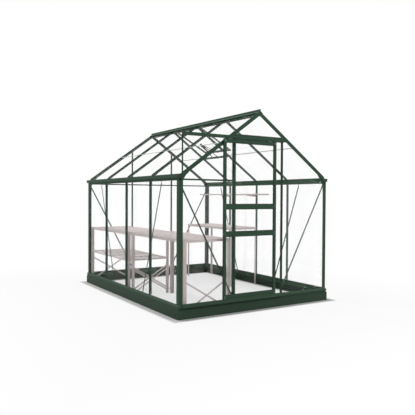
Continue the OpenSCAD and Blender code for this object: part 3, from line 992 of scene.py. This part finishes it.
@dataclass
class RidgeAndEaves:
    """End caps of the gutters and the screws of the ridge cap."""

    shell: Shell
    palette: Palette
    trough_floor: float = 0.022
    trough_height: float = 0.030
    trough_inner: float = 0.026
    sheet: float = 0.003
    cap: float = 0.002
    screw: float = 0.0038
    screw_down: float = 0.028
    screw_inset: float = 0.012
    ridge_sheet: float = 0.0026

    def end_caps(self) -> None:
        """Makes the plates that close both ends of each gutter's trough."""
        piece = Joinery("gutter_end_caps")
        low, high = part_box("eaves_gutters")
        floor = self.shell.wall_top + self.trough_floor
        outer = self.shell.half_width - high.x + self.sheet
        bottom, top = floor + self.sheet, floor + self.trough_height
        outline = [
            (outer, bottom), (self.trough_inner, bottom), (self.trough_inner, top), (outer, top),
        ]
        for side in Slope:
            for y, step in ((low.y, self.cap), (high.y, -self.cap)):
                corners = [(side.value * (self.shell.half_width - d), z) for d, z in outline]
                if side is Slope.LEFT:
                    corners.reverse()
                place = axes_matrix(Vector((0, y, 0)), Vector((1, 0, 0)), Vector((0, 0, 1)),
                                    Vector((0, -1, 0)))
                near, far = sorted((-step * 0.1, -step))
                piece.prism(corners[::-1], near, far, place)
        piece.piece(self.palette.rubber, HOUSE)

    def ridge_screws(self) -> None:
        """Makes the screws that hold the ridge cap on both slopes."""
        piece = Joinery("ridge_screws")
        shell, inset = self.shell, self.screw_inset
        for slope in Slope:
            roof = shell.slope_frame(slope)
            for y in (shell.front + inset, *shell.side_bars, shell.back - inset):
                place = (self.screw_down, slope.value * y, self.ridge_sheet)
                piece.button(roof @ Matrix.Translation(place), self.screw)
        piece.piece(self.palette.zinc, HOUSE, "bright_metal")


@dataclass
class SlidingDoor:
    """Seals, screws and hanger bolts of the door leaf, and its track's stops and screws."""

    shell: Shell
    palette: Palette
    bead: float = 0.005
    bead_height: float = 0.003
    brush: float = 0.0012
    brush_inset: float = 0.006
    brush_gap: float = 0.010
    rail_screw: float = 0.0034
    rail_screw_out: float = 0.014
    rail_screw_inset: float = 0.012
    hanger_inset: float = 0.020
    hanger_bolt: tuple[float, float] = (0.004, 0.0016)
    hanger_bolt_aside: float = 0.011
    hanger_bolt_up: float = 0.003
    hanger_plate: float = 0.003
    wheel_drop: float = 0.008
    wheel_pin: float = 0.003
    wheel_pin_out: float = 0.0022
    stop_gap: float = 0.002
    stop_length: float = 0.016
    stop_half: float = 0.013
    track_clear: float = 0.0035
    track_screw: float = 0.0042
    track_screw_inset: float = 0.008
    track_screw_up: float = 0.015
    strut_screw: float = 0.004
    strut_screws_up: tuple[float, float] = (0.012, 0.034)

    @staticmethod
    def _spans(node: str) -> list[tuple[float, float]]:
        """The bottom and top of each panel or rail of a node, from the lowest up.

        Args:
            node: The node's name in the frame.

        Returns:
            Pairs of heights.
        """
        points = frame["nodes"][node].data.vertices
        levels = sorted({round(v.co.z, 4) for v in points})
        return list(zip(levels[::2], levels[1::2]))

    def seals(self) -> None:
        """Makes the beads round each pane, and the brushes down both edges of the leaf."""
        piece = Joinery("door_pane_seals")
        glass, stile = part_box("door_glass"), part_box("door_stiles")
        x0, x1, bead = glass[0].x, glass[1].x, self.bead
        for bottom, top in self._spans("door_glass"):
            for face, out in ((glass[0].y, -1), (glass[1].y, 1)):
                y0, y1 = sorted((face, face + out * self.bead_height))
                for a, b in (
                    ((x0, bottom), (x1, bottom + bead)), ((x0, top - bead), (x1, top)),
                    ((x0, bottom + bead), (x0 + bead, top - bead)),
                    ((x1 - bead, bottom + bead), (x1, top - bead)),
                ):
                    piece.block((a[0], y0, a[1]), (b[0], y1, b[1]))
        inset, gap = self.brush_inset, self.brush_gap
        for x in (stile[0].x, stile[1].x):
            piece.block((x - self.brush, stile[0].y + inset, stile[0].z + gap),
                        (x + self.brush, stile[1].y - inset, stile[1].z - gap))
        piece.piece(self.palette.rubber, DOOR)

    def screws(self) -> None:
        """Makes the screws at the rails' ends and the bolts of the hangers."""
        piece = Joinery("door_screws")
        rails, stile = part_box("door_rails"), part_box("door_stiles")
        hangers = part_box("door_hangers")
        out_x, inset = self.rail_screw_out, self.rail_screw_inset
        for bottom, top in self._spans("door_rails"):
            for x in (rails[0].x - out_x, rails[1].x + out_x):
                for y, out in ((stile[0].y, -1), (stile[1].y, 1)):
                    for z in (bottom + inset, top - inset):
                        piece.button(face_matrix((x, y, z), (0, out, 0)), self.rail_screw)
        face = (hangers[0].y + hangers[1].y) / 2 - self.hanger_plate / 2
        for x in (hangers[0].x + self.hanger_inset, hangers[1].x - self.hanger_inset):
            for aside in (-self.hanger_bolt_aside, self.hanger_bolt_aside):
                place = (x + aside, face, stile[1].z + self.hanger_bolt_up)
                piece.bolt(face_matrix(place, (0, -1, 0)), *self.hanger_bolt)
            place = face_matrix(
                (x, hangers[0].y, hangers[1].z - self.wheel_drop), (0, -1, 0))
            piece.rod(self.wheel_pin, 0.0, self.wheel_pin_out, place, 12)
        piece.piece(self.palette.zinc, DOOR, "bright_metal")

    def track_stops(self) -> None:
        """Makes the rubber stops inside both ends of the track."""
        piece = Joinery("track_stops")
        low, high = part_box("door_track")
        middle, half, clear = (low.y + high.y) / 2, self.stop_half, self.track_clear
        near, far = self.stop_gap, self.stop_gap + self.stop_length
        for x0, x1 in ((low.x + near, low.x + far), (high.x - far, high.x - near)):
            piece.block((x0, middle - half, low.z + clear), (x1, middle + half, high.z - clear))
        piece.piece(self.palette.rubber, HOUSE)

    def track_screws(self) -> None:
        """Makes the screws that hold the track and its strut."""
        piece = Joinery("track_screws")
        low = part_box("door_track")[0]
        for x in (low.x + self.track_screw_inset, -self.shell.jamb, 0.0, self.shell.jamb):
            place = face_matrix((x, low.y, low.z + self.track_screw_up), (0, -1, 0))
            piece.button(place, self.track_screw)
        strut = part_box("track_strut")
        x = (strut[0].x + strut[1].x) / 2
        for up in self.strut_screws_up:
            place = face_matrix((x, strut[0].y, strut[0].z + up), (0, -1, 0))
            piece.button(place, self.strut_screw)
        piece.piece(self.palette.frame, HOUSE, "frame_paint")


@dataclass
class RoofVent:
    """Glazing bead and rivets of the open vent, and the wax cylinder of its stay."""

    shell: Shell
    palette: Palette
    opening: float = math.radians(6.5)
    hinge_pin: float = 0.005
    lift: float = 0.0053
    rail: float = 0.022
    bead_width: float = 0.006
    bead_span: tuple[float, float] = (0.005, 0.0085)
    rivet: float = 0.0032
    rivet_end: float = 0.012
    rivet_side: float = 0.011
    rivet_up: float = 0.009
    cylinder_down: float = 0.33
    cylinder_depth: float = 0.031
    cylinder_length: float = 0.15

    def _frame(self) -> tuple[Matrix, float, float]:
        """Measures the open vent.

        Returns:
            Its own frame, with X down it from the hinge, its length and its width.
        """
        roof = self.shell.slope_frame(Slope.RIGHT)
        low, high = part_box("vent_frame")
        corners = [roof.inverted() @ v.co for v in frame["nodes"]["vent_frame"].data.vertices]
        hinge = min(c.x for c in corners) + self.hinge_pin
        length = (max(c.x for c in corners) - hinge) / math.cos(self.opening)
        place = roof @ Matrix.Translation((hinge, (low.y + high.y) / 2, self.lift))
        return place @ Matrix.Rotation(-self.opening, 4, "Y"), length, high.y - low.y

    def bead(self) -> None:
        """Makes the rubber bead on top of the vent's pane."""
        place, length, width = self._frame()
        piece = Joinery("vent_bead")
        half, bead = width / 2 - self.rail, self.bead_width
        start, end = self.rail, length - self.rail
        under, top = self.bead_span
        for low, high in (
            ((start, -half), (start + bead, half)), ((end - bead, -half), (end, half)),
            ((start, -half), (end, bead - half)), ((start, half - bead), (end, half)),
        ):
            piece.block((*low, under), (*high, top), place)
        piece.piece(self.palette.rubber, HOUSE)

    def corner_rivets(self) -> None:
        """Makes the rivets at the corners of the vent's frame."""
        place, length, width = self._frame()
        piece = Joinery("vent_rivets")
        side = width / 2 - self.rivet_side
        for x in (self.rivet_end, length - self.rivet_end):
            for y in (-side, side):
                spot = Matrix.Translation((x, y, self.rivet_up))
                piece.button(place @ spot, self.rivet)
        piece.piece(self.palette.zinc, HOUSE, "bright_metal")

    def stay_cylinder(self) -> None:
        """Makes the wax cylinder under the stay's fork, with its end nuts and its pins."""
        roof = self.shell.slope_frame(Slope.RIGHT)
        low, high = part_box("vent_stay")
        place = roof @ Matrix.Translation(
            (self.cylinder_down, (low.y + high.y) / 2, -self.cylinder_depth))
        along = place @ Matrix.Rotation(math.pi / 2, 4, "Y")
        length = self.cylinder_length
        piece = Joinery("stay_cylinder")
        for radius, start, end, sides in (
            (0.009, 0.0, length, 24), (0.011, 0.010, 0.026, 6),
            (0.011, length - 0.026, length - 0.010, 6),
            (0.004, length, length + 0.05, 12), (0.004, -0.012, 0.0, 12),
        ):
            piece.rod(radius, start, end, along, sides)
        piece.piece(self.palette.black, HOUSE, "dark_metal")


@dataclass
class Staging:
    """Bolts and rivets of the benches and the shelves.

    Each legs node is given with the width of its legs. A node whose gap in the middle lies
    within module_gap is made of two modules.
    """

    palette: Palette
    legs: tuple[tuple[str, float], ...] = (("bench_legs", 0.038), ("side_bench_legs", 0.022))
    leg_bolt: tuple[float, float] = (0.007, 0.003)
    bolt_drops: tuple[float, float] = (0.012, 0.034)
    tops: tuple[str, ...] = ("bench_tops", "side_bench_top", "bench_shelf", "high_shelf")
    rivet: float = 0.0035
    rivet_side: float = 0.013
    rivet_end: float = 0.012
    module_gap: tuple[float, float] = (0.025, 0.12)

    def _modules(self, node: str) -> list[tuple[Vector, Vector]]:
        """Boxes of a node's modules.

        Args:
            node: The node's name in the frame.

        Returns:
            The low and high corners of one module, or of two, one behind the other.
        """
        points = [v.co for v in frame["nodes"][node].data.vertices]
        low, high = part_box(node)
        middle = (low.y + high.y) / 2
        halves = [[p for p in points if p.y < middle], [p for p in points if p.y > middle]]
        gap = min(p.y for p in halves[1]) - max(p.y for p in halves[0])
        least, most = self.module_gap
        parts = halves if least < gap < most else [points]
        return [
            (Vector([min(p[i] for p in part) for i in range(3)]),
             Vector([max(p[i] for p in part) for i in range(3)]))
            for part in parts
        ]

    def bolts(self) -> None:
        """Makes the bolts where each leg meets its bench frame, on the aisle's side."""
        piece = Joinery("staging_bolts")
        for node, leg in self.legs:
            for low, high in self._modules(node):
                aisle = 1 if high.x < 0 else -1
                x = high.x if aisle > 0 else low.x
                for y in (low.y + leg / 2, high.y - leg / 2):
                    for drop in self.bolt_drops:
                        place = face_matrix((x, y, high.z - drop), (aisle, 0, 0))
                        piece.bolt(place, *self.leg_bolt)
        piece.piece(self.palette.zinc, HOUSE, "bright_metal")

    def slat_rivets(self) -> None:
        """Makes the rivets that hold the long rails to the end rails."""
        piece = Joinery("slat_rivets")
        for node in self.tops:
            for low, high in self._modules(node):
                for x in (low.x + self.rivet_side, high.x - self.rivet_side):
                    for y in (low.y + self.rivet_end, high.y - self.rivet_end):
                        place = face_matrix((x, y, high.z), (0, 0, 1))
                        piece.button(place, self.rivet)
        piece.piece(self.palette.zinc, HOUSE, "bright_metal")


# ---- studio ------------------------------------------------------------------------


@dataclass(frozen=True)
class Lamp:
    """One soft lamp of the studio."""

    name: str
    place: Point
    power: float
    size: float
    tint: Colour = (1.0, 1.0, 1.0)


@dataclass(frozen=True)
class Fade:
    """How far the floor turns to the surround's white, by the distance from the plinth. Where it
    stays low, the floor shows grey as painted shade.
    """

    start: float
    end: float
    first: float
    last: float

    def share(self, build: Nodes, distance: bpy.types.NodeSocket) -> bpy.types.NodeSocket:
        """Adds the fade to a material and returns its result."""
        return build.node("ShaderNodeMapRange", {
            0: distance, 1: self.start, 2: self.end, 3: self.first, 4: self.last}).outputs[0]


def seen_share(build: Nodes) -> bpy.types.NodeSocket:
    """Tells rays that show a surface from rays that light by it.

    Args:
        build: The nodes of the material or the world.

    Returns:
        1 for the camera's rays, off metal and through glass too, and 0 for the rest.
    """
    path = build.node("ShaderNodeLightPath").outputs
    return build.sums("ADD", path["Is Camera Ray"], build.sums(
        "ADD", path["Is Glossy Ray"], path["Is Transmission Ray"]), clamp=True)


@dataclass(frozen=True)
class Studio:
    """A pale floor with a strip of painted shade round the plinth, soft lamps, a white surround
    and the camera.
    """

    eye: Point = (-3.364, -5.596, 1.181)
    heading: float = 32.16
    tilt: float = -1.174
    roll: float = 0.307
    lens: float = 44.96
    sensor: float = 36.0
    aim_height: float = 1.0
    surround: float = 0.78
    # The floor's own grey, which the camera sees only next to the plinth, where it is painted
    # shade that deepens the lamps' contact shadow.
    floor_and_shade_strip_tone: float = 0.44
    floor_reach: float = 60.0
    # near leaves a grey strip of painted shade just outside the plinth, and within leaves a grey
    # band just inside it.
    near: Fade = Fade(0.055, 0.095, 0.0, 0.9)
    away: Fade = Fade(0.2, 2.0, 0.0, 0.1)
    within: Fade = Fade(-0.12, -0.03, 0.6, 0.0)
    lamps: tuple[Lamp, ...] = (
        Lamp("Key lamp", (2.2, -5.5, 5.0), 115.0, 2.5, (1.0, 0.98, 0.95)),
        Lamp("Overhead lamp", (-2.4, 3.3, 9.0), 500.0, 0.6),
    )

    def floor(self) -> None:
        """Makes a pale floor that keeps the shadows, with a grey strip of painted shade round the
        plinth, and fades into the surround.
        """
        reach = self.floor_reach
        sheet = bpy.data.meshes.new("floor")
        sheet.from_pydata(
            [(-reach, -reach, 0), (reach, -reach, 0), (reach, reach, 0), (-reach, reach, 0)],
            [], [(0, 1, 2, 3)])
        sheet.materials.append(self._floor_material())
        ground = bpy.data.objects.new("floor", sheet)
        bpy.context.scene.collection.objects.link(ground)

    def _floor_material(self) -> bpy.types.Material:
        """Builds the floor's finish: matt and grey in a strip round the plinth, which is painted
        shade added to the lamps' real shadow, and white where no shadow needs to show.

        Returns:
            The finished material.
        """
        made = bpy.data.materials.new("Floor with painted shade strip")
        made.use_nodes = True
        made.node_tree.nodes.clear()
        build = Nodes(made.node_tree)
        # Grey matt floor, lit by the lamps; next to the plinth it shows as painted shade.
        matt = build.node("ShaderNodeBsdfDiffuse", {"Color": shade((self.floor_and_shade_strip_tone,) * 3)})
        white = build.node("ShaderNodeEmission", {"Color": WHITE, "Strength": 1.0})
        outside = self._outside(build)
        share = build.sums("MAXIMUM", self.within.share(build, outside), build.sums(
            "ADD", self.near.share(build, outside), self.away.share(build, outside)))
        mix = build.node("ShaderNodeMixShader", {
            0: build.sums("MULTIPLY", share, seen_share(build)),
            1: matt.outputs[0], 2: white.outputs[0]})
        build.node("ShaderNodeOutputMaterial", {"Surface": mix.outputs[0]})
        return made

    @staticmethod
    def _outside(build: Nodes) -> bpy.types.NodeSocket:
        """How far a place on the floor lies outside the plinth, below zero within it.

        Args:
            build: The floor material's nodes.

        Returns:
            The distance in metres.
        """
        place = build.node("ShaderNodeNewGeometry").outputs["Position"]
        parts = build.node("ShaderNodeSeparateXYZ", {0: place}).outputs
        low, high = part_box("plinth_sides")
        sideways = build.sums("SUBTRACT", build.sums("ABSOLUTE", parts[0]), high.x)
        from_middle = build.sums("ABSOLUTE", build.sums(
            "SUBTRACT", parts[1], (low.y + high.y) / 2))
        endways = build.sums("SUBTRACT", from_middle, (high.y - low.y) / 2)
        return build.sums("MAXIMUM", sideways, endways)

    def world(self) -> None:
        """Makes a surround that lights gently and shows as white."""
        made = bpy.data.worlds.new("Studio surround")
        made.use_nodes = True
        made.node_tree.nodes.clear()
        build = Nodes(made.node_tree)
        strength = build.node("ShaderNodeMapRange", {
            0: seen_share(build), 3: self.surround, 4: 1.0})
        light = build.node("ShaderNodeBackground", {
            "Color": WHITE, "Strength": strength.outputs[0]})
        build.node("ShaderNodeOutputWorld", {"Surface": light.outputs[0]})
        bpy.context.scene.world = made

    def lights(self) -> None:
        """Hangs the lamps, each turned to the middle of the building."""
        for lamp in self.lamps:
            data = bpy.data.lights.new(lamp.name, "AREA")
            data.energy, data.size, data.color = lamp.power, lamp.size, lamp.tint
            made = bpy.data.objects.new(lamp.name, data)
            made.location = lamp.place
            aim = Vector((0, 0, self.aim_height)) - Vector(lamp.place)
            made.rotation_euler = aim.to_track_quat("-Z", "Y").to_euler()
            bpy.context.scene.collection.objects.link(made)

    def camera(self) -> None:
        """Sets the camera up at chest height, off the front left corner."""
        data = bpy.data.cameras.new("Camera")
        data.lens, data.sensor_width = self.lens, self.sensor
        made = bpy.data.objects.new("Camera", data)
        turn = (
            Matrix.Rotation(math.radians(-self.heading), 4, "Z")
            @ Matrix.Rotation(math.radians(90 + self.tilt), 4, "X")
            @ Matrix.Rotation(math.radians(self.roll), 4, "Z")
        )
        made.matrix_world = Matrix.Translation(Vector(self.eye)) @ turn
        bpy.context.scene.collection.objects.link(made)
        bpy.context.scene.camera = made

    def build(self) -> None:
        """Builds the whole studio."""
        self.floor()
        self.world()
        self.lights()
        self.camera()
        bpy.context.scene.view_settings.view_transform = "Standard"


def main() -> None:
    """Dresses the frame, adds every small piece and builds the studio."""
    logging.basicConfig(level=logging.INFO, format="%(name)s: %(message)s")
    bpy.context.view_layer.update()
    shell, palette = Shell.from_frame(), Palette()
    Carcass(palette).dress()
    glazing = Glazing(shell, palette)
    glazing.clips()
    glazing.joint_strips()
    fixings = Fixings(shell, palette)
    fixings.frame_bolts()
    fixings.plinth_bolts()
    fixings.sill_packing()
    trim = RidgeAndEaves(shell, palette)
    trim.end_caps()
    trim.ridge_screws()
    door = SlidingDoor(shell, palette)
    door.seals()
    door.screws()
    door.track_stops()
    door.track_screws()
    vent = RoofVent(shell, palette)
    vent.bead()
    vent.corner_rivets()
    vent.stay_cylinder()
    staging = Staging(palette)
    staging.bolts()
    staging.slat_rivets()
    Studio().build()


if __name__ == "__main__":
    main()
